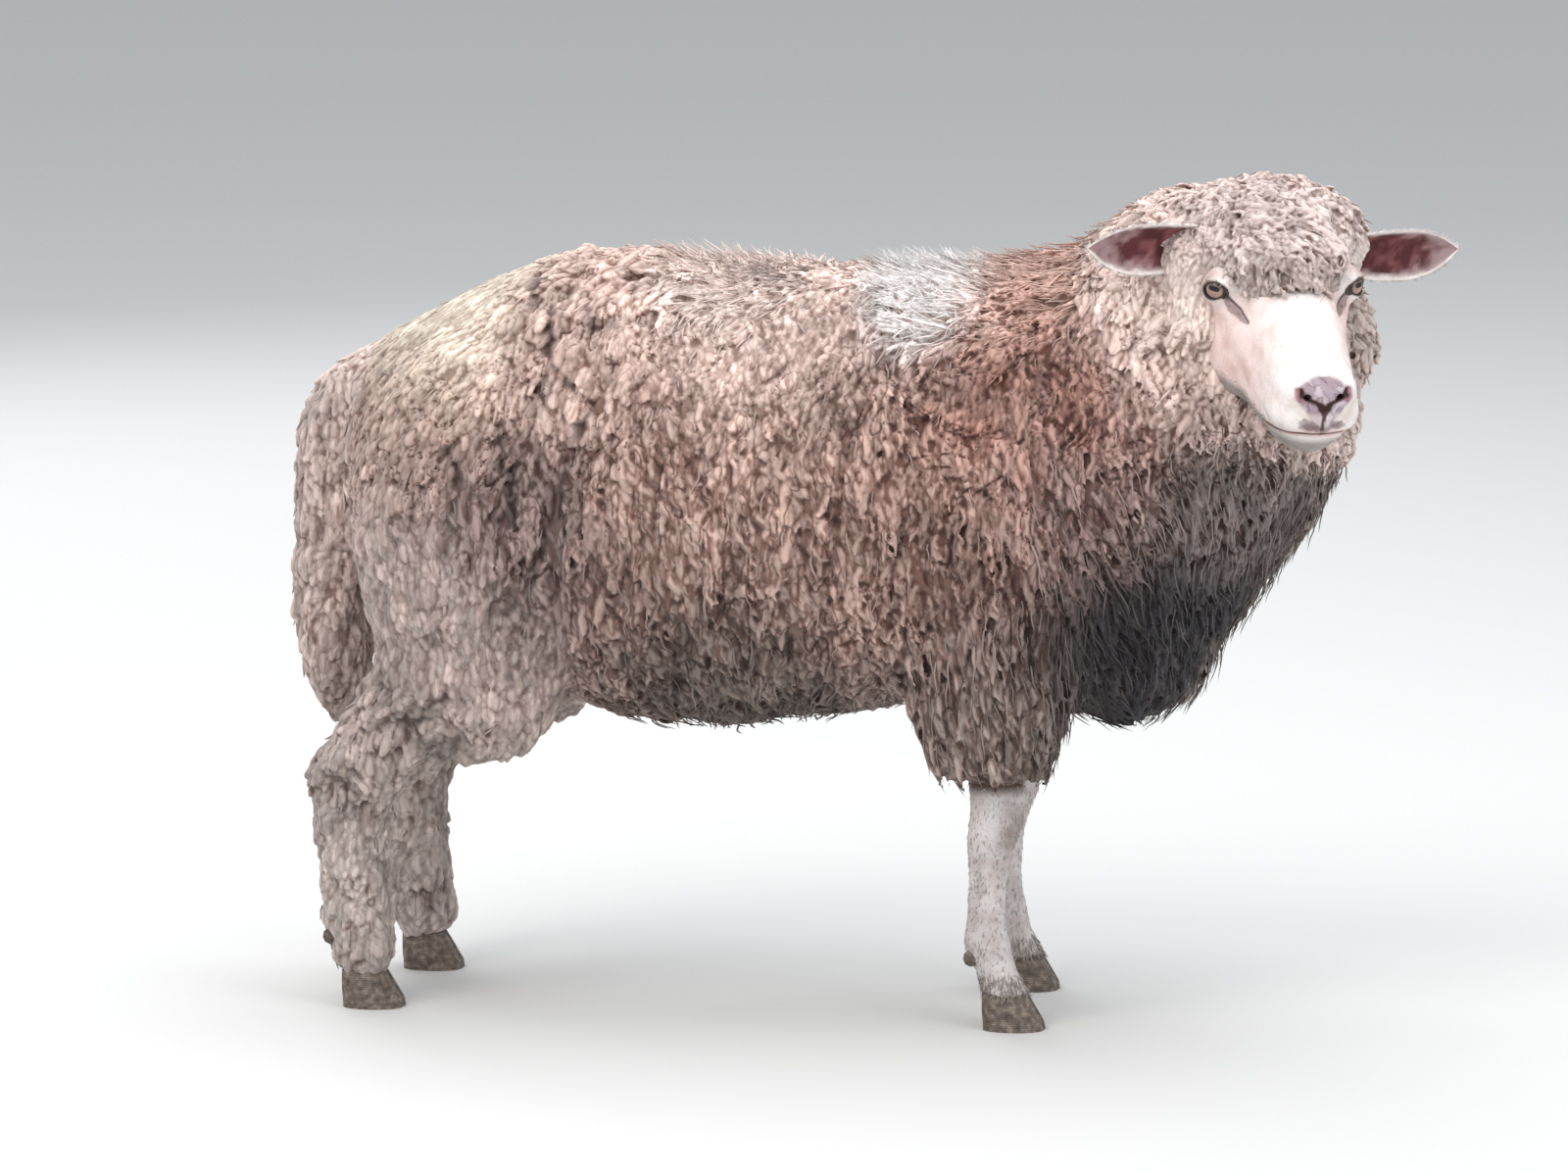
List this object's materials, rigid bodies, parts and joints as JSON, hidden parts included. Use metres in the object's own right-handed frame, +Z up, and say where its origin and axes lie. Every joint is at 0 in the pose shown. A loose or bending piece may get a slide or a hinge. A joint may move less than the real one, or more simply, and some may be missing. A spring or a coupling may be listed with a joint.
{
  "type": "sheep",
  "caption": "Life-size still model of a woolly sheep standing on four cloven hooves with its head turned to its right",
  "frame": {"origin": "middle of the bounding box in X and Y, at floor level", "axes": "+X runs forward along the body, +Y to the animal's left, +Z up"},
  "size_m": [1.1204, 0.4363, 0.808],
  "materials": {
    "fleece": "curled wool, grey-brown with rust shoulders, a dark brisket and a cream rump",
    "face": "short white-pink hair, woolly on the forehead and cheeks",
    "ear": "thin, white-haired rim, pink inside",
    "short_hair": "short pale grey hair",
    "eye": "wet, brown-grey with a level dark pupil",
    "horn": "dark grey-brown hoof horn"
  },
  "bodies": {
    "root": {"head": "face", "ear_right": "ear", "ear_left": "ear", "eye_right": "eye", "eye_left": "eye", "neck": "fleece", "forequarters": "fleece", "barrel": "fleece", "hindquarters": "fleece", "tail": "fleece", "foreleg_right": "fleece", "foreleg_left": "fleece", "foreshank_right": "short_hair", "foreshank_left": "short_hair", "hindleg_right": "fleece", "hindleg_left": "fleece", "hindshank_right": "fleece", "hindshank_left": "fleece", "claw_fore_right_inner": "horn", "claw_fore_right_outer": "horn", "claw_fore_left_inner": "horn", "claw_fore_left_outer": "horn", "claw_hind_right_inner": "horn", "claw_hind_right_outer": "horn", "claw_hind_left_inner": "horn", "claw_hind_left_outer": "horn", "dewclaw_fore_right_inner": "horn", "dewclaw_fore_right_outer": "horn", "dewclaw_fore_left_inner": "horn", "dewclaw_fore_left_outer": "horn", "dewclaw_hind_right_inner": "horn", "dewclaw_hind_right_outer": "horn", "dewclaw_hind_left_inner": "horn", "dewclaw_hind_left_outer": "horn"}
  },
  "joints": []
}
